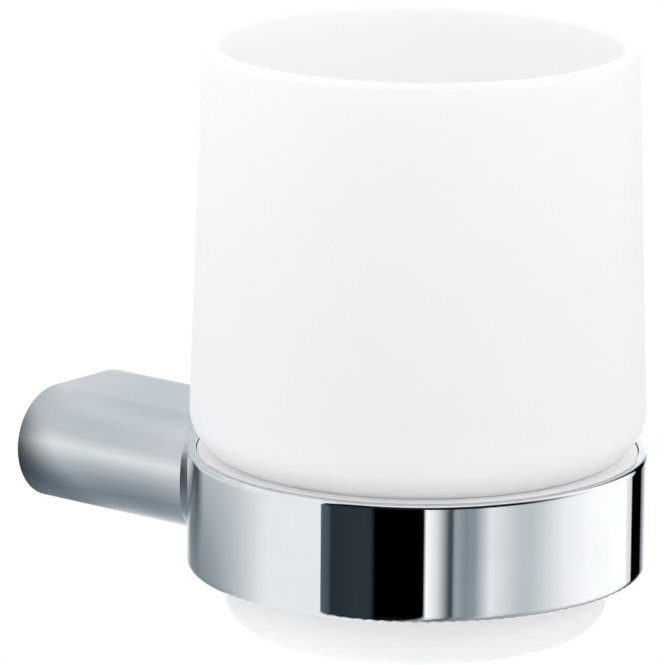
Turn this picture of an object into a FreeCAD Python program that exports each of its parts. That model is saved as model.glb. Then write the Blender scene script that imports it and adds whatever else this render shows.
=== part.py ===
import FreeCAD, Part
import math
import os

# A glass tumbler that stands in a ring at the end of a wall arm.
# Millimetres. The wall is the plane Y = 0, the arm reaches out along -Y, and +Z is up.
# Z = 0 is the middle height of the ring and the arm.

# Ring and arm, one casting
RING_OUTER_D = 70.0
RING_HEIGHT = 18.0
RING_WALL = 3.0
RING_LIP = 1.3  # the chrome edge that shows on top, outside the white flange
RING_TOP_ROUND = 0.7
RING_BOTTOM_ROUND = 0.5
ARM_LENGTH = 33.2  # from the wall to the outside of the ring
ARM_STEP = 0.1  # how far the arm's flats lie inside the ring's faces
ARM_FACET = 3.0  # narrow flat where the arm runs into the ring: its reach along the arm
RING_FACET = 2.0  # and round the ring
ARM_END_ROUND = 0.4
POCKET_WALL = 4.1  # metal around the hollow in the arm
POCKET_SPARE = 7.0  # free depth beyond the bracket's post

# White insert between the ring and the glass
LINER_WALL = 2.5
LINER_FLANGE = 1.6
LINER_DROP = 0.2  # flange top below the ring's top
LINER_SHORT = 1.0  # sleeve end above the ring's underside
LINER_CLEAR = 0.1
LINER_EDGE = 0.2

# Glass
GLASS_WALL = 2.4
GLASS_BASE = 5.0
GLASS_RISE = 62.6  # rim above the ring's top
GLASS_DROP = 8.9  # foot below the ring's underside
GLASS_SEAT = 1.2  # flat under the shoulder that lies on the liner
GLASS_FLARE = 4.35  # how far the body stands out beyond its seat
GLASS_LIFT = 2.0  # how much the underside rises from the seat outwards
GLASS_SHOULDER = 7.3  # radius where the underside turns up into the body
GLASS_TAPER = 1.85  # rim radius less than the body's
GLASS_NECK_ROUND = 0.2
GLASS_FOOT_ROUND = 4.0
GLASS_FUNNEL = 5.5  # height over which the inside narrows to the foot
GLASS_INNER_ROUND = 4.0
GLASS_PUNT = 0.8  # hollow under the foot
GLASS_STAND = 2.0  # width of the ring that the foot stands on
GLASS_CLEAR = 0.3

# Bracket on the wall, and the screw that grips it
BRACKET_CLEAR = 0.2
BRACKET_PLATE = 4.0
POST_LENGTH = 13.0  # beyond the plate
POST_WIDTH = 6.0
POST_LEAD = 0.8
WALL_HOLE_D = 4.2
WALL_SINK_D = 7.0
WALL_SINK_LAND = 0.4  # metal left beside a countersink
SCREW_D = 5.0
SCREW_RECESS = 0.3  # below the arm's underside
SCREW_CLEAR = 0.05
SCREW_POINT = 0.6
SCREW_EDGE = 0.3
SOCKET_FLATS = 2.5
SOCKET_DEPTH = 2.2

# Sizes that follow from those above
RING_R = RING_OUTER_D / 2
RING_TOP = RING_HEIGHT / 2
RING_BORE_R = RING_R - RING_WALL
RABBET_R = RING_R - RING_LIP
LINER_TOP = RING_TOP - LINER_DROP
LINER_LEDGE = LINER_TOP - LINER_FLANGE
LINER_SLEEVE_R = RING_BORE_R - LINER_CLEAR
LINER_FLANGE_R = RABBET_R - LINER_CLEAR
LINER_BORE_R = LINER_SLEEVE_R - LINER_WALL
GLASS_NECK_R = LINER_BORE_R - GLASS_CLEAR
GLASS_SEAT_R = GLASS_NECK_R + GLASS_SEAT
GLASS_BODY_R = GLASS_SEAT_R + GLASS_FLARE
GLASS_RIM_Z = RING_TOP + GLASS_RISE
GLASS_FOOT_Z = -RING_TOP - GLASS_DROP
GLASS_RIM_ROUND = 0.45 * GLASS_WALL  # nearly a full round
WALL_HOLE_SPACING = POST_WIDTH + WALL_SINK_D + 2 * WALL_SINK_LAND
BRACKET_WIDTH = POST_WIDTH + 2 * WALL_SINK_D + 4 * WALL_SINK_LAND
POCKET_WIDTH = BRACKET_WIDTH + 2 * BRACKET_CLEAR
POCKET_DEPTH = BRACKET_PLATE + POST_LENGTH + POCKET_SPARE
ARM_WIDTH = POCKET_WIDTH + 2 * POCKET_WALL
ARM_HEIGHT = RING_HEIGHT - 2 * ARM_STEP
ARM_REACH = ARM_LENGTH + RING_R  # from the wall to the ring's axis
POCKET_HEIGHT = ARM_HEIGHT - 2 * POCKET_WALL
BRACKET_HEIGHT = POCKET_HEIGHT - 2 * BRACKET_CLEAR
SCREW_FROM_WALL = BRACKET_PLATE + POST_LENGTH / 2
SCREW_TIP_Z = -BRACKET_HEIGHT / 2
SCREW_END_Z = -ARM_HEIGHT / 2 + SCREW_RECESS

TOUCH = 0.001  # points closer than this are on the same face
UP = FreeCAD.Vector(0, 0, 1)
OUT = FreeCAD.Vector(0, -1, 0)
RING_AXIS = OUT * ARM_REACH
SCREW_AXIS = OUT * SCREW_FROM_WALL


def rounded_outline(corners):
    """Closed outline in the XZ plane from (x, z, radius) corners: straight runs joined by tangent arcs."""
    points = [FreeCAD.Vector(x, 0, z) for x, z, radius in corners]
    ends = []
    edges = []
    for i, (x, z, radius) in enumerate(corners):
        here = points[i]
        back = (points[i - 1] - here).normalize()
        ahead = (points[(i + 1) % len(points)] - here).normalize()
        half = back.getAngle(ahead) / 2
        reach = radius / math.tan(half)
        start = here + back * reach
        end = here + ahead * reach
        ends.append((start, end))
        if radius > 0:
            inward = (back + ahead).normalize()
            middle = here + inward * (radius / math.sin(half) - radius)
            edges.append(Part.Arc(start, middle, end).toShape())
    for i, (start, end) in enumerate(ends):
        following = ends[(i + 1) % len(ends)][0]
        if end.distanceToPoint(following) > TOUCH:
            edges.append(Part.LineSegment(end, following).toShape())
    return Part.Wire(Part.__sortEdges__(edges))


def turned(corners, axis):
    """Solid of revolution about an upright axis."""
    solid = Part.Face(rounded_outline(corners)).revolve(FreeCAD.Vector(), UP, 360)
    solid.translate(axis)
    return solid


def disc(radius, low, high, axis):
    """Upright cylinder between two heights."""
    return Part.makeCylinder(radius, high - low, axis + UP * low)


def stadium_bar(width, height, length):
    """Bar with flat top and bottom and half-round sides, from the wall outwards."""
    half = width / 2
    side = height / 2
    corners = [(-half, -side, side), (half, -side, side), (half, side, side), (-half, side, side)]
    return Part.Face(rounded_outline(corners)).extrude(OUT * length)


def on_ring_outside(point):
    """True where a point lies on the ring's outside, on the arm's side."""
    reach = math.hypot(point.x, point.y + ARM_REACH)
    return abs(reach - RING_R) < TOUCH and abs(point.z) < RING_HEIGHT and point.y > -ARM_REACH + TOUCH


def edges_where(solid, rule):
    """Edges of a solid whose sampled points all follow a rule."""
    return [edge for edge in solid.Edges if all(rule(point) for point in edge.discretize(7))]


def ring_and_arm():
    """Turned ring blank with its rounds, and the arm run into it with a narrow flat at each side."""
    bar = stadium_bar(ARM_WIDTH, ARM_HEIGHT, ARM_REACH)
    post = disc(RING_R, -RING_HEIGHT, RING_HEIGHT, RING_AXIS)
    joined = post.fuse(bar).removeSplitter()
    eased = joined.makeChamfer(RING_FACET, ARM_FACET, edges_where(joined, on_ring_outside))
    span = 2 * (ARM_REACH + RING_R)
    slab = Part.makeBox(span, span, ARM_HEIGHT, FreeCAD.Vector(-span / 2, -span / 2, -ARM_HEIGHT / 2))
    arm = eased.common(slab).cut(post)
    corners = [
        (0, -RING_TOP, 0),
        (RING_R, -RING_TOP, RING_BOTTOM_ROUND),
        (RING_R, RING_TOP, RING_TOP_ROUND),
        (0, RING_TOP, 0),
    ]
    blank = turned(corners, RING_AXIS).fuse([arm, bar]).removeSplitter()
    return blank.makeFillet(ARM_END_ROUND, edges_where(blank, lambda p: abs(p.y) < TOUCH))


def holder():
    """Casting: the ring with its rabbet for the liner, and the arm with its pocket and screw hole."""
    solid = ring_and_arm()
    solid = solid.cut(disc(RING_BORE_R, -RING_HEIGHT, RING_HEIGHT, RING_AXIS))
    solid = solid.cut(disc(RABBET_R, LINER_LEDGE, RING_HEIGHT, RING_AXIS))
    solid = solid.cut(stadium_bar(POCKET_WIDTH, POCKET_HEIGHT, POCKET_DEPTH))
    return solid.cut(disc(SCREW_D / 2 + SCREW_CLEAR, -ARM_HEIGHT, 0, SCREW_AXIS))


def ring_liner():
    """Sleeve with a flange that lies in the ring's rabbet."""
    low = -RING_TOP + LINER_SHORT
    corners = [
        (LINER_BORE_R, low, LINER_EDGE),
        (LINER_SLEEVE_R, low, LINER_EDGE),
        (LINER_SLEEVE_R, LINER_LEDGE, 0),
        (LINER_FLANGE_R, LINER_LEDGE, 0),
        (LINER_FLANGE_R, LINER_TOP, LINER_EDGE),
        (LINER_BORE_R, LINER_TOP, LINER_EDGE),
    ]
    return turned(corners, RING_AXIS)


def body_r(height):
    """Outside radius of the glass body, which narrows evenly from the shoulder to the rim."""
    taper = GLASS_TAPER / (GLASS_RIM_Z - LINER_TOP - GLASS_SHOULDER)
    return GLASS_BODY_R - GLASS_TAPER + taper * (GLASS_RIM_Z - height)


def tumbler():
    """Glass: body, shoulder that sits on the liner, and a foot that hangs through the ring."""
    rim_r = body_r(GLASS_RIM_Z)
    shoulder_z = LINER_TOP + GLASS_LIFT
    floor_z = GLASS_FOOT_Z + GLASS_BASE
    funnel_z = LINER_TOP + GLASS_FUNNEL
    bore_r = GLASS_NECK_R - GLASS_WALL
    corners = [
        (0, GLASS_FOOT_Z, 0),
        (GLASS_NECK_R, GLASS_FOOT_Z, GLASS_FOOT_ROUND),
        (GLASS_NECK_R, LINER_TOP, GLASS_NECK_ROUND),
        (GLASS_SEAT_R, LINER_TOP, 0),
        (body_r(shoulder_z), shoulder_z, GLASS_SHOULDER),
        (rim_r, GLASS_RIM_Z, GLASS_RIM_ROUND),
        (rim_r - GLASS_WALL, GLASS_RIM_Z, GLASS_RIM_ROUND),
        (body_r(funnel_z) - GLASS_WALL, funnel_z, GLASS_INNER_ROUND),
        (bore_r, LINER_TOP, GLASS_INNER_ROUND),
        (bore_r, floor_z, GLASS_INNER_ROUND),
        (0, floor_z, 0),
    ]
    glass = turned(corners, RING_AXIS)
    punt_r = GLASS_NECK_R - GLASS_FOOT_ROUND - GLASS_STAND
    ball_r = (punt_r ** 2 + GLASS_PUNT ** 2) / (2 * GLASS_PUNT)
    ball = Part.makeSphere(ball_r, RING_AXIS + UP * (GLASS_FOOT_Z + GLASS_PUNT - ball_r))
    return glass.cut(ball)


def wall_bracket():
    """Plate against the wall with a post that reaches into the arm, and two countersunk screw holes."""
    plate = stadium_bar(BRACKET_WIDTH, BRACKET_HEIGHT, BRACKET_PLATE)
    front = BRACKET_PLATE + POST_LENGTH
    corner = FreeCAD.Vector(-POST_WIDTH / 2, -front, -BRACKET_HEIGHT / 2)
    post = Part.makeBox(POST_WIDTH, front, BRACKET_HEIGHT, corner)
    post = post.makeChamfer(POST_LEAD, edges_where(post, lambda p: abs(p.y + front) < TOUCH))
    solid = plate.fuse(post).removeSplitter()
    hole_r = WALL_HOLE_D / 2
    sink_r = WALL_SINK_D / 2
    sink_depth = sink_r - hole_r
    for side in (-1, 1):
        centre = FreeCAD.Vector(side * WALL_HOLE_SPACING / 2, 0, 0)
        solid = solid.cut(Part.makeCylinder(hole_r, BRACKET_PLATE, centre, OUT))
        sink = centre + OUT * (BRACKET_PLATE - sink_depth)
        solid = solid.cut(Part.makeCone(hole_r, sink_r, sink_depth, sink, OUT))
    return solid


def clamp_screw():
    """Socket set screw that stands in the arm's underside and bears on the post."""
    shank_r = SCREW_D / 2
    corners = [
        (0, SCREW_END_Z, 0),
        (shank_r - SCREW_EDGE, SCREW_END_Z, 0),
        (shank_r, SCREW_END_Z + SCREW_EDGE, 0),
        (shank_r, SCREW_TIP_Z - SCREW_POINT, 0),
        (shank_r - SCREW_POINT, SCREW_TIP_Z, 0),
        (0, SCREW_TIP_Z, 0),
    ]
    screw = turned(corners, SCREW_AXIS)
    hexagon = []
    for k in range(7):
        angle = k * math.pi / 3
        spoke = FreeCAD.Vector(math.cos(angle), math.sin(angle), 0) * (SOCKET_FLATS / math.sqrt(3))
        hexagon.append(SCREW_AXIS + spoke + UP * SCREW_END_Z)
    socket = Part.Face(Part.makePolygon(hexagon)).extrude(UP * SOCKET_DEPTH)
    return screw.cut(socket)


os.makedirs("parts", exist_ok=True)
for make in (tumbler, ring_liner, holder, wall_bracket, clamp_screw):
    shape = make()
    shape.exportStep("parts/" + make.__name__ + ".step")
    box = shape.optimalBoundingBox(False)
    print(make.__name__, "solids", len(shape.Solids), "valid", shape.isValid(), "volume %.1f" % shape.Volume)
    print("  from %.2f %.2f %.2f" % (box.XMin, box.YMin, box.ZMin))
    print("  to %.2f %.2f %.2f" % (box.XMax, box.YMax, box.ZMax))
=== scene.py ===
# %% [markdown]
# A satin glass tumbler stands in a chrome ring on a short wall arm. A white insert lies between glass and
# ring, and a small bracket and a set screw inside the arm hold it to the wall.
# The solid model already has the right shapes, so it is loaded as it is, and every surface then gets the
# finish of the real thing.

# %% Load the solid model
import bmesh
import bpy
import math
from mathutils import Matrix, Vector


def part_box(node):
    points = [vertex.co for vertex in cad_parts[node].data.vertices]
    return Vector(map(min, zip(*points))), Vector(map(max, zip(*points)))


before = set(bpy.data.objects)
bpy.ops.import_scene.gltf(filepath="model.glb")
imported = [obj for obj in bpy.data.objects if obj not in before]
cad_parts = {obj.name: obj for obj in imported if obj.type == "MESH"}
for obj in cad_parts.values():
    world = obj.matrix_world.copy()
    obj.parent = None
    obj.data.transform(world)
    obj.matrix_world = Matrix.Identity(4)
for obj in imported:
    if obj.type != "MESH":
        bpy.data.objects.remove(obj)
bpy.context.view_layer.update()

MM = 0.001

# %% [markdown]
# The camera stands about a metre away with a long lens, so upright edges stay nearly parallel, as they do
# when a small thing is photographed for a shop. It could be placed by eye, but here its angles and its
# distance are numbers, measured on the ring and the rim. It leans by less than half a degree.

# %% Camera
VIEW_AZIMUTH = math.radians(-50.97)
VIEW_ELEVATION = math.radians(13.49)
VIEW_ROLL = math.radians(0.43)
VIEW_DISTANCE = 0.9946  # metres
LOOK_ASIDE = -13.03 * MM  # from the ring's centre to the middle of the picture, along the camera's right
LOOK_ABOVE = 26.01 * MM  # and along its upright
LENS_MM, SENSOR_MM = 353.28, 36
FAR_CLIP = 100  # metres

liner_low, liner_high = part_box("ring_liner")
ring_centre = Vector(((liner_low.x + liner_high.x) / 2, (liner_low.y + liner_high.y) / 2, 0))
back = Vector((
    math.sin(VIEW_AZIMUTH) * math.cos(VIEW_ELEVATION),
    -math.cos(VIEW_AZIMUTH) * math.cos(VIEW_ELEVATION),
    math.sin(VIEW_ELEVATION),
))
level = Vector((math.cos(VIEW_AZIMUTH), math.sin(VIEW_AZIMUTH), 0))
upright = back.cross(level)
across = level * math.cos(VIEW_ROLL) + upright * math.sin(VIEW_ROLL)
upward = upright * math.cos(VIEW_ROLL) - level * math.sin(VIEW_ROLL)
place = ring_centre + level * LOOK_ASIDE + upright * LOOK_ABOVE + back * VIEW_DISTANCE

scene = bpy.context.scene
camera = bpy.data.objects.new("camera", bpy.data.cameras.new("camera"))
camera.data.lens = LENS_MM
camera.data.sensor_width = SENSOR_MM
camera.data.clip_end = FAR_CLIP
camera.matrix_world = Matrix.Translation(place) @ Matrix((across, upward, back)).transposed().to_4x4()
scene.collection.objects.link(camera)
scene.camera = camera
scene.view_settings.view_transform = "Standard"
print("camera at", [round(v, 3) for v in place])

# %% [markdown]
# Colours are written as the hex values that a screen shows, and one function turns them into the linear
# numbers that light adds up in. A second small function adds a node, sets it and links it, so that each
# material below reads as a short list.

# %% Colour and node helpers
def linear(hex_colour):
    """Linear colour with alpha from an sRGB hex value."""
    parts = [int(hex_colour[i:i + 2], 16) / 255 for i in (1, 3, 5)]
    return [p / 12.92 if p <= 0.04045 else ((p + 0.055) / 1.055) ** 2.4 for p in parts] + [1.0]


def add(tree, kind, settings=None, **sockets):
    """Add a node: settings are its properties, sockets are values or outputs that feed its inputs.

    An input that shares its name with another is given by its number, as i0, i1 and so on.
    """
    node = tree.nodes.new(kind)
    for name, value in (settings or {}).items():
        setattr(node, name, value)
    for name, value in sockets.items():
        by_number = name[0] == "i" and name[1:].isdigit()
        socket = node.inputs[int(name[1:]) if by_number else name.replace("_", " ")]
        if isinstance(value, bpy.types.NodeSocket):
            tree.links.new(value, socket)
        else:
            socket.default_value = value
    return node


def set_stops(ramp, stops):
    """Give a colour ramp its (position, hex colour) stops."""
    while len(ramp.color_ramp.elements) < len(stops):
        ramp.color_ramp.elements.new(0.5)
    for element, (position, colour) in zip(ramp.color_ramp.elements, stops):
        element.position = position
        element.color = linear(colour)


print("white is", linear("#ffffff"), "and middle grey is", [round(p, 3) for p in linear("#808080")[:3]])

# %% [markdown]
# Polished chrome has no colour of its own: what shows on it is the room. Such a ring is photographed in a
# white tent with black and grey cards standing around it, and each card becomes an upright band.
# The cards could be meshes, but a world that is brighter or darker by direction does the same and hides
# nothing. Angles are in degrees from the camera, positive to its right.

# %% Studio cards
STUDIO_CARDS = [  # first angle, last angle, colour at the first, colour at the last
    (-180, -53, "#dcdde0", "#ebebed"),  # tent behind the wall's left end
    (-52, -45, "#5a646b", "#434c54"),  # edge of the slate card, turned to the light
    (-44.2, -23.1, "#272f36", "#2b353a"),  # slate card
    (-21.9, 3.7, "#000000", "#000000"),  # black card before the lens
    (3.9, 9.4, "#fdfdfe", "#d6dadc"),  # strip lamp
    (15.3, 16.9, "#414b53", "#414b53"),  # shaded side of the lamp's box
    (18.6, 23.6, "#97a1a9", "#7d888f"),  # grey card
    (25.6, 28.4, "#828c93", "#87919a"),  # far half of the grey card
    (36.5, 51.5, "#e1e1e5", "#bac2c5"),  # tent, falling into shade
    (58.5, 79, "#b9c1c4", "#e9e9ec"),  # tent, coming out of the shade
    (96, 128, "#f8f8f9", "#fdfdfd"),  # lit side of the tent
    (131, 135.3, "#d9dbdd", "#d4d6d8"),  # seam of the tent
    (136.4, 151, "#000000", "#000000"),  # black card beside the wall's right end
    (155, 180, "#c3c7cb", "#dcdde0"),  # tent behind the wall
]


def share_of_turn(angle):
    """Place of an angle on a ramp that runs once around, with the camera in its middle."""
    return 0.5 + angle / 360


world = bpy.data.worlds.new("studio")
scene.world = world
world.use_nodes = True
tree = world.node_tree
tree.nodes.clear()
direction = add(tree, "ShaderNodeTexCoord").outputs["Generated"]
turned = add(tree, "ShaderNodeMapping", Vector=direction, Rotation=(0, 0, math.radians(90) - VIEW_AZIMUTH))
around = add(tree, "ShaderNodeTexGradient", {"gradient_type": "RADIAL"}, Vector=turned.outputs["Vector"])
cards = add(tree, "ShaderNodeValToRGB", Fac=around.outputs["Fac"])
stops = []
for first, last, first_colour, last_colour in STUDIO_CARDS:
    stops.append((share_of_turn(first), first_colour))
    stops.append((share_of_turn(last), last_colour))
set_stops(cards, stops)
print("studio cards", len(STUDIO_CARDS))

# %% [markdown]
# Above the cards the room is dark up to the lamp overhead, but not on the lit side, and the ground shows
# the cards again, only dimmer. The small rounds on the ring's edges mirror these as thin lines.
# Only mirrored rays see the cards. The camera, and light that falls on the matt pieces or passes through
# the glass, meet a plain white tent.

# %% Room above and below the cards
LIT_SIDE = [share_of_turn(angle) for angle in (55, 105)]  # the dark above fades out between these
CARD_STRENGTH = 1.49
TENT_STRENGTH = 1.0

height = add(tree, "ShaderNodeSeparateXYZ", Vector=direction).outputs["Z"]
unlit = add(
    tree, "ShaderNodeMapRange", {"interpolation_type": "SMOOTHSTEP"},
    Value=around.outputs["Fac"], From_Min=LIT_SIDE[0], From_Max=LIT_SIDE[1], To_Min=1.0, To_Max=0.0,
)
room = cards.outputs["Color"]
for start, full, most, colour in (  # heights between -1 and 1, greatest share, colour
    (0.02, 0.16, unlit.outputs[0], "#14181b"),  # dark above the cards
    (0.8, 0.97, 1.0, "#f4f5f7"),  # lamp overhead
    (-0.35, -0.6, 0.5, "#1d2125"),  # ground
):
    share = add(
        tree, "ShaderNodeMapRange", {"interpolation_type": "SMOOTHSTEP"},
        Value=height, From_Min=start, From_Max=full, To_Max=most,
    )
    mixed = add(
        tree, "ShaderNodeMix", {"data_type": "RGBA"},
        i0=share.outputs[0], i6=room, i7=linear(colour),
    )
    room = mixed.outputs[2]
mirrored = add(tree, "ShaderNodeBackground", Color=room, Strength=CARD_STRENGTH)
plain = add(tree, "ShaderNodeBackground", Color=linear("#ffffff"), Strength=TENT_STRENGTH)
path = add(tree, "ShaderNodeLightPath")
bounced = add(
    tree, "ShaderNodeMath", {"operation": "SUBTRACT", "use_clamp": True},
    i0=path.outputs["Is Glossy Ray"], i1=path.outputs["Is Transmission Ray"],
)
both = add(tree, "ShaderNodeMixShader", Fac=bounced.outputs[0], i1=plain.outputs[0], i2=mirrored.outputs[0])
add(tree, "ShaderNodeOutputWorld", Surface=both.outputs[0])
print("world nodes", len(tree.nodes))

# %% [markdown]
# The arm is mounted on a pale wall, and the long streaks on its chrome are that wall: bright far away,
# dark where the arm's own shadow falls beside and below its foot. The camera sees only white behind the
# object, so the board is there for mirrored rays alone.
# A plain rectangle would do, but the arm's foot stands on it, so it is cut out inside the arm's outline.

# %% Wall board
WALL_BEHIND = 0.5 * MM
WALL_LEFT, WALL_RIGHT, WALL_HALF_HEIGHT = -0.466, 0.49, 0.8  # metres from the arm's axis
ARM_FLAT = 6.2 * MM  # half the width of the arm's flat top
ARM_SIDE = 8.9 * MM  # radius of its half-round sides
HOLE_SIDE = ARM_SIDE - 1.3 * MM  # the board stops just inside the arm's outline
HOLE_POINTS = 48
TINY = 1e-6  # keeps a division finite

wall_mesh = bpy.data.meshes.new("wall")
cut = bmesh.new()
hole = []
edge = []
for k in range(HOLE_POINTS):
    c = math.cos(2 * math.pi * k / HOLE_POINTS)
    s = math.sin(2 * math.pi * k / HOLE_POINTS)
    hole.append(cut.verts.new((math.copysign(ARM_FLAT, c) + HOLE_SIDE * c, WALL_BEHIND, HOLE_SIDE * s)))
    sideways = (WALL_RIGHT if c > 0 else -WALL_LEFT) / max(abs(c), TINY)
    reach = min(sideways, WALL_HALF_HEIGHT / max(abs(s), TINY))
    edge.append(cut.verts.new((reach * c, WALL_BEHIND, reach * s)))
for k in range(HOLE_POINTS):
    after = (k + 1) % HOLE_POINTS
    cut.faces.new((edge[k], edge[after], hole[after], hole[k]))
cut.to_mesh(wall_mesh)
cut.free()
wall = bpy.data.objects.new("wall", wall_mesh)
scene.collection.objects.link(wall)
for unseen in ("visible_camera", "visible_diffuse", "visible_shadow", "visible_transmission"):
    setattr(wall, unseen, False)
print("wall board", len(wall_mesh.polygons), "faces")

# %% [markdown]
# The wall has a coat of matt pale paint, and the arm shades it. The board is no lamp, yet it glows: its
# colour is the light and shade that would fall on that wall, painted in.
# The shade could be left to the lamps, but it would come out grainy, so it is painted: one ramp around
# the arm for the painted shade close to it and one for the painted light and shade of the wall farther out,
# mixed by the distance from the arm.

# %% Wall light and shade, painted
def new_material(name):
    """Empty node material."""
    made = bpy.data.materials.new(name)
    made.use_nodes = True
    made.node_tree.nodes.clear()
    return made


SHADE_SHIFT = (-2 * MM, 0, 5.5 * MM)  # the arm's shade hangs below it
SHADE_FROM, SHADE_FULL = 1.7 * MM, 14 * MM  # the shade fades out between these distances from the arm
OPEN_FROM, OPEN_FULL = 22 * MM, 112 * MM  # and between these the wall grows as bright as the tent
OPEN_WALL = "#f6f7f9"
END_FROM = 0.2  # metres to the right, from where the wall falls into shade again
END_WALL = "#80888e"
WALL_STRENGTH = 1.27

wall_light_and_shade = new_material("wall_painted_light_and_shade")
tree = wall_light_and_shade.node_tree
spot = add(tree, "ShaderNodeTexCoord").outputs["Object"]
place_on_wall = add(tree, "ShaderNodeSeparateXYZ", Vector=spot)
laid_flat = add(tree, "ShaderNodeMapping", Vector=spot, Rotation=(math.radians(-90), 0, math.radians(180)))
turn = add(tree, "ShaderNodeTexGradient", {"gradient_type": "RADIAL"}, Vector=laid_flat.outputs["Vector"])
in_shade = add(tree, "ShaderNodeValToRGB", Fac=turn.outputs["Fac"])
# painted shade close to the arm, darkest just beside its left side
set_stops(in_shade, [  # share of a turn around the arm, and the colour there
    (0.3, "#d2d5d8"), (0.4, "#b2b7bb"), (0.45, "#14161a"), (0.5, "#14161a"), (0.56, "#475058"),
    (0.64, "#6b757e"), (0.74, "#79838b"), (0.86, "#dcdedf"),
])
in_light = add(tree, "ShaderNodeValToRGB", Fac=turn.outputs["Fac"])
# painted light and shade farther out: a lamp's brighter patch left of the arm, and the arm's shadow below
set_stops(in_light, [
    (0.2, "#c6ccd2"), (0.3, "#d3d8dc"), (0.37, "#c8cdd2"), (0.43, "#cbd0d4"), (0.475, "#eaedee"),
    (0.53, "#bcc2c7"), (0.58, "#9aa3aa"), (0.65, "#7e8890"), (0.72, "#919aa1"), (0.85, "#dcdedf"),
])
shifted = add(tree, "ShaderNodeVectorMath", {"operation": "ADD"}, i0=spot, i1=SHADE_SHIFT)
axes = add(tree, "ShaderNodeSeparateXYZ", Vector=shifted.outputs[0])
width = add(tree, "ShaderNodeMath", {"operation": "ABSOLUTE"}, i0=axes.outputs["X"])
beyond = add(tree, "ShaderNodeMath", {"operation": "SUBTRACT"}, i0=width.outputs[0], i1=ARM_FLAT)
aside = add(tree, "ShaderNodeMath", {"operation": "MAXIMUM"}, i0=beyond.outputs[0], i1=0.0)
away = add(tree, "ShaderNodeCombineXYZ", X=aside.outputs[0], Z=axes.outputs["Z"])
distance = add(tree, "ShaderNodeVectorMath", {"operation": "LENGTH"}, i0=away.outputs[0]).outputs["Value"]
clear = add(
    tree, "ShaderNodeMapRange", {"interpolation_type": "SMOOTHSTEP"},
    Value=distance, From_Min=ARM_SIDE + SHADE_FROM, From_Max=ARM_SIDE + SHADE_FULL,
)
shaded = add(
    tree, "ShaderNodeMix", {"data_type": "RGBA"},
    i0=clear.outputs[0], i6=in_shade.outputs["Color"], i7=in_light.outputs["Color"],
)
opening = add(
    tree, "ShaderNodeMapRange", {"interpolation_type": "SMOOTHSTEP"},
    Value=distance, From_Min=ARM_SIDE + OPEN_FROM, From_Max=ARM_SIDE + OPEN_FULL,
)
painted = add(
    tree, "ShaderNodeMix", {"data_type": "RGBA"},
    i0=opening.outputs[0], i6=shaded.outputs[2], i7=linear(OPEN_WALL),
)
right_end = add(
    tree, "ShaderNodeMapRange", {"interpolation_type": "SMOOTHSTEP"},
    Value=place_on_wall.outputs["X"], From_Min=END_FROM, From_Max=WALL_RIGHT,
)
ending = add(
    tree, "ShaderNodeMix", {"data_type": "RGBA"},
    i0=right_end.outputs[0], i6=painted.outputs[2], i7=linear(END_WALL),
)
glow = add(tree, "ShaderNodeEmission", Color=ending.outputs[2], Strength=WALL_STRENGTH)
add(tree, "ShaderNodeOutputMaterial", Surface=glow.outputs[0])
wall_mesh.materials.append(wall_light_and_shade)
print("wall paint nodes", len(tree.nodes))

# %% [markdown]
# The object hangs at washbasin height, so the floor lies more than a metre below it and shows only as
# plain white behind and under the object. A disc of matt white in the white tent gives that by itself,
# and still takes the object's soft shadow.

# %% Floor
FLOOR_BELOW = 1.1  # metres
FLOOR_RADIUS = 14.0
FLOOR_SIDES = 96

floor_mesh = bpy.data.meshes.new("floor")
cut = bmesh.new()
bmesh.ops.create_circle(cut, cap_ends=True, segments=FLOOR_SIDES, radius=FLOOR_RADIUS)
bmesh.ops.translate(cut, verts=cut.verts, vec=(0, 0, -FLOOR_BELOW))
cut.to_mesh(floor_mesh)
cut.free()
floor = bpy.data.objects.new("floor", floor_mesh)
scene.collection.objects.link(floor)
floor.visible_glossy = False
matt_white = new_material("matt_white_floor")
tree = matt_white.node_tree
flat = add(tree, "ShaderNodeBsdfDiffuse", Color=linear("#ffffff"))
add(tree, "ShaderNodeOutputMaterial", Surface=flat.outputs[0])
floor_mesh.materials.append(matt_white)
print("floor", FLOOR_BELOW, "m below")

# %% [markdown]
# One soft box stands high to the right of the camera, so that side of the glass is a little brighter. It
# could be one more bright card, but cards only show in mirrors, and the glass needs light that falls on it.
# The chrome doesn't see the box, because its cards are all in the world already.

# %% Soft box
BOX_SIDE = 0.7  # metres
BOX_WATTS = 1.6
BOX_RIGHT, BOX_FORWARD, BOX_ABOVE = 0.8, 0.35, 0.7  # metres from the ring

soft_box = bpy.data.objects.new("soft_box", bpy.data.lights.new("soft_box", "AREA"))
soft_box.data.size = BOX_SIDE
soft_box.data.energy = BOX_WATTS
from_ring = level * BOX_RIGHT + back * BOX_FORWARD + Vector((0, 0, BOX_ABOVE))
soft_box.location = ring_centre + from_ring
soft_box.rotation_euler = from_ring.to_track_quat("Z", "Y").to_euler()
soft_box.visible_camera = False
soft_box.visible_glossy = False
scene.collection.objects.link(soft_box)
print("soft box", round(from_ring.length, 2), "m from the ring")

# %% [markdown]
# The ring and the arm are one brass casting, polished and chrome plated. Plating gives the eye a nearly
# perfect mirror, slightly cool, with a breath of haze where the polishing wheel passed.
# Metal needs no pattern of its own: a very low roughness that drifts over some millimetres, a faint tint
# that drifts with it, and the slight waviness of hand polishing are enough. The wheel rides off over the
# ring's edges and takes their last sharpness away. That is finer than the mesh, so the shader does it.

# %% Polished chrome plate
POLISH_DRIFT = 7 * MM  # width of the hazier patches
POLISH_WAVE = 9 * MM  # length of the waves that polishing leaves
POLISH_DEPTH = 0.0003 * MM
POLISH_ROUGH = 0.012, 0.035  # least and most
NOISE_LOW, NOISE_HIGH = 0.3, 0.7  # noise seldom leaves this range
EASED_LOW, EASED_TOP = 1.0 * MM, 0.5 * MM  # how far the wheel rounds the lower and the upper edge
EASED_FROM, EASED_FULL = 2.2 * MM, 1.0 * MM  # and how near to an edge it does so
EASE_SAMPLES = 12

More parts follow.
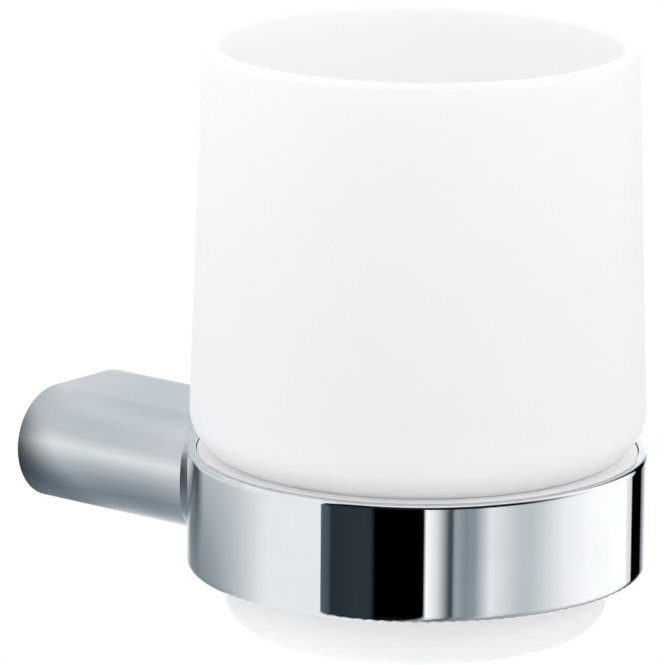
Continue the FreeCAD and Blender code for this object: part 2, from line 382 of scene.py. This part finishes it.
chrome = new_material("polished_chrome_plate")
tree = chrome.node_tree
spot = add(tree, "ShaderNodeTexCoord").outputs["Object"]
drift = add(tree, "ShaderNodeTexNoise", Vector=spot, Scale=1 / POLISH_DRIFT, Detail=3.0)
tint = add(tree, "ShaderNodeValToRGB", Fac=drift.outputs["Fac"])
set_stops(tint, [(NOISE_LOW, "#d3d5d6"), (NOISE_HIGH, "#d7d9da")])
haze = add(
    tree, "ShaderNodeMapRange",
    Value=drift.outputs["Fac"], From_Min=NOISE_LOW, From_Max=NOISE_HIGH,
    To_Min=POLISH_ROUGH[0], To_Max=POLISH_ROUGH[1],
)
waves = add(tree, "ShaderNodeTexNoise", Vector=spot, Scale=1 / POLISH_WAVE, Detail=1.0)
holder_low, holder_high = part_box("holder")
level_of = add(tree, "ShaderNodeSeparateXYZ", Vector=spot)
from_middle = add(tree, "ShaderNodeMath", {"operation": "ABSOLUTE"}, i0=level_of.outputs["Z"])
near_edge = add(
    tree, "ShaderNodeMapRange",
    Value=from_middle.outputs[0], From_Min=holder_high.z - EASED_FROM, From_Max=holder_high.z - EASED_FULL,
)
rounding = add(
    tree, "ShaderNodeMapRange",
    Value=level_of.outputs["Z"], From_Min=holder_low.z, From_Max=holder_high.z,
    To_Min=EASED_LOW, To_Max=EASED_TOP,
)
eased = add(tree, "ShaderNodeBevel", {"samples": EASE_SAMPLES}, Radius=rounding.outputs[0])
as_cast = add(tree, "ShaderNodeNewGeometry")
polished = add(
    tree, "ShaderNodeMix", {"data_type": "VECTOR"},
    i0=near_edge.outputs[0], i4=as_cast.outputs["Normal"], i5=eased.outputs["Normal"],
)
relief = add(
    tree, "ShaderNodeBump",
    Height=waves.outputs["Fac"], Strength=1.0, Distance=POLISH_DEPTH, Normal=polished.outputs[1],
)
plate = add(
    tree, "ShaderNodeBsdfPrincipled",
    Base_Color=tint.outputs["Color"], Metallic=1.0, Roughness=haze.outputs[0],
    Normal=relief.outputs["Normal"],
)
add(tree, "ShaderNodeOutputMaterial", Surface=plate.outputs[0])
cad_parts["holder"].material_slots[0].material = chrome
print("holder:", chrome.name)

# %% [markdown]
# The tumbler is clear glass that has been dipped in acid. The acid leaves a skin of tiny pits, so light
# still passes, but nothing can be seen sharply: the glass looks milky, and glows evenly in a white room.
# It could be clear glass with a rough skin, but then light that bounces many times inside is lost and the
# glass turns grey. Here the light scatters below the surface and comes out some millimetres away, and
# only a little of it still passes straight through. White glass over a white insert hands light to and
# fro many times, so more of these bounces are followed than usual.

# %% Acid-etched glass
ETCH_GRAIN = 0.3 * MM  # the pits are some hundredths of this, and are drawn this coarse to show at all
ETCH_DEPTH = 0.004 * MM
ETCH_CLOUD = 14 * MM  # uneven bite of the bath
LIGHT_DRIFT = 12 * MM  # how far light wanders between the etched skins before it leaves
ETCH_ROUGH = 0.5, 0.6  # least and most
GLASS_IOR = 1.5
CLEAR_SHARE = 0.04  # light that passes straight through
WHITE_BOUNCES = 12

scene.cycles.diffuse_bounces = WHITE_BOUNCES
glass = new_material("acid_etched_glass")
tree = glass.node_tree
spot = add(tree, "ShaderNodeTexCoord").outputs["Object"]
cloud = add(tree, "ShaderNodeTexNoise", Vector=spot, Scale=1 / ETCH_CLOUD, Detail=4.0)
milk = add(tree, "ShaderNodeValToRGB", Fac=cloud.outputs["Fac"])
set_stops(milk, [(NOISE_LOW, "#fbfbfe"), (NOISE_HIGH, "#fefeff")])
bite = add(
    tree, "ShaderNodeMapRange",
    Value=cloud.outputs["Fac"], From_Min=NOISE_LOW, From_Max=NOISE_HIGH,
    To_Min=ETCH_ROUGH[0], To_Max=ETCH_ROUGH[1],
)
pits = add(tree, "ShaderNodeTexNoise", Vector=spot, Scale=1 / ETCH_GRAIN, Detail=2.0)
relief = add(tree, "ShaderNodeBump", Height=pits.outputs["Fac"], Strength=1.0, Distance=ETCH_DEPTH)
etched = add(
    tree, "ShaderNodeBsdfPrincipled",
    Base_Color=milk.outputs["Color"], Roughness=bite.outputs[0], IOR=GLASS_IOR,
    Transmission_Weight=CLEAR_SHARE, Subsurface_Weight=1.0,
    Subsurface_Scale=LIGHT_DRIFT, Subsurface_Radius=(1.0, 1.0, 1.0),
    Normal=relief.outputs["Normal"],
)
add(tree, "ShaderNodeOutputMaterial", Surface=etched.outputs[0])
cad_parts["tumbler"].material_slots[0].material = glass
print("tumbler:", glass.name)

# %% [markdown]
# The insert between glass and ring is moulded in white polypropylene, a soft plastic that keeps the glass
# from chinking. The steel mould was spark eroded, and its fine even grain is left on the plastic.
# It gives the eye a plain satin white, without sharp highlights.

# %% Moulded polypropylene
MOULD_GRAIN = 0.25 * MM  # about twice the real grain, so that it shows
MOULD_DEPTH = 0.006 * MM
MOULD_FLOW = 11 * MM  # width of the faint patches that the flow leaves
MOULD_ROUGH = 0.36, 0.46  # least and most
PLASTIC_IOR = 1.49

plastic = new_material("moulded_white_polypropylene")
tree = plastic.node_tree
spot = add(tree, "ShaderNodeTexCoord").outputs["Object"]
flow = add(tree, "ShaderNodeTexNoise", Vector=spot, Scale=1 / MOULD_FLOW, Detail=2.0)
white = add(tree, "ShaderNodeValToRGB", Fac=flow.outputs["Fac"])
set_stops(white, [(NOISE_LOW, "#f4f4f5"), (NOISE_HIGH, "#f7f7f7")])
grain = add(tree, "ShaderNodeTexNoise", Vector=spot, Scale=1 / MOULD_GRAIN, Detail=2.0)
satin = add(
    tree, "ShaderNodeMapRange",
    Value=grain.outputs["Fac"], From_Min=NOISE_LOW, From_Max=NOISE_HIGH,
    To_Min=MOULD_ROUGH[0], To_Max=MOULD_ROUGH[1],
)
relief = add(tree, "ShaderNodeBump", Height=grain.outputs["Fac"], Strength=1.0, Distance=MOULD_DEPTH)
moulded = add(
    tree, "ShaderNodeBsdfPrincipled",
    Base_Color=white.outputs["Color"], Roughness=satin.outputs[0], IOR=PLASTIC_IOR,
    Normal=relief.outputs["Normal"],
)
add(tree, "ShaderNodeOutputMaterial", Surface=moulded.outputs[0])
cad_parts["ring_liner"].material_slots[0].material = plastic
print("ring_liner:", plastic.name)

# %% [markdown]
# The bracket inside the arm is stainless steel, sawn from bar and blasted with glass beads. Blasting turns
# the metal an even dull grey that scatters light in all directions, with a fine sandy grain.

# %% Blasted stainless steel
BLAST_GRAIN = 0.2 * MM  # dents from beads of about this size
BLAST_DEPTH = 0.012 * MM
BLAST_PATCH = 5 * MM  # width of the darker patches
BLAST_ROUGH = 0.42, 0.55  # least and most
DENT_EDGE = 0.8  # value of the pattern at the edge of a dent

steel = new_material("bead_blasted_stainless_steel")
tree = steel.node_tree
spot = add(tree, "ShaderNodeTexCoord").outputs["Object"]
patch = add(tree, "ShaderNodeTexNoise", Vector=spot, Scale=1 / BLAST_PATCH, Detail=3.0)
grey = add(tree, "ShaderNodeValToRGB", Fac=patch.outputs["Fac"])
set_stops(grey, [(NOISE_LOW, "#b0b0ae"), (NOISE_HIGH, "#bfbfbd")])
dents = add(tree, "ShaderNodeTexVoronoi", Vector=spot, Scale=1 / BLAST_GRAIN)
dull = add(
    tree, "ShaderNodeMapRange",
    Value=dents.outputs["Distance"], From_Max=DENT_EDGE, To_Min=BLAST_ROUGH[0], To_Max=BLAST_ROUGH[1],
)
relief = add(tree, "ShaderNodeBump", Height=dents.outputs["Distance"], Strength=1.0, Distance=BLAST_DEPTH)
blasted = add(
    tree, "ShaderNodeBsdfPrincipled",
    Base_Color=grey.outputs["Color"], Metallic=1.0, Roughness=dull.outputs[0],
    Normal=relief.outputs["Normal"],
)
add(tree, "ShaderNodeOutputMaterial", Surface=blasted.outputs[0])
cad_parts["wall_bracket"].material_slots[0].material = steel
print("wall_bracket:", steel.name)

# %% [markdown]
# The set screw is turned from stainless bar. Its flat end shows the fine rings of the cutting tool round
# the hexagon, and its side carries the thread, 0.8 mm from turn to turn on a 5 mm screw.
# The thread sits inside the arm, so rings in the bump are enough for what shows when it is wound out.

# %% Turned stainless steel
THREAD_PITCH = 0.8 * MM
THREAD_DEPTH = 0.25 * MM
TOOL_MARK = 0.12 * MM  # about twice the real feed, so that the rings show
TOOL_DEPTH = 0.002 * MM
WAVE_LENGTH = math.pi / 10  # a wave texture of scale 1 repeats after this length
TURNED_ROUGH = 0.22, 0.34  # least and most

screw_low, screw_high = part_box("clamp_screw")
screw_axis = (screw_low + screw_high) / 2
bar = new_material("turned_stainless_steel")
tree = bar.node_tree
spot = add(tree, "ShaderNodeTexCoord").outputs["Object"]
centred = add(tree, "ShaderNodeVectorMath", {"operation": "SUBTRACT"}, i0=spot, i1=screw_axis)
thread = add(
    tree, "ShaderNodeTexWave", {"bands_direction": "Z"},
    Vector=centred.outputs[0], Scale=WAVE_LENGTH / THREAD_PITCH,
)
rings = add(
    tree, "ShaderNodeTexWave", {"wave_type": "RINGS", "rings_direction": "Z"},
    Vector=centred.outputs[0], Scale=WAVE_LENGTH / TOOL_MARK,
)
shine = add(
    tree, "ShaderNodeMapRange",
    Value=rings.outputs["Fac"], To_Min=TURNED_ROUGH[0], To_Max=TURNED_ROUGH[1],
)
bright = add(tree, "ShaderNodeValToRGB", Fac=rings.outputs["Fac"])
set_stops(bright, [(0.0, "#b2b3b4"), (1.0, "#c6c7c8")])
turns = add(tree, "ShaderNodeBump", Height=thread.outputs["Fac"], Strength=1.0, Distance=THREAD_DEPTH)
marks = add(
    tree, "ShaderNodeBump",
    Height=rings.outputs["Fac"], Strength=1.0, Distance=TOOL_DEPTH, Normal=turns.outputs["Normal"],
)
metal = add(
    tree, "ShaderNodeBsdfPrincipled",
    Base_Color=bright.outputs["Color"], Metallic=1.0, Roughness=shine.outputs[0],
    Normal=marks.outputs["Normal"],
)
add(tree, "ShaderNodeOutputMaterial", Surface=metal.outputs[0])
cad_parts["clamp_screw"].material_slots[0].material = bar
print("clamp_screw:", bar.name)
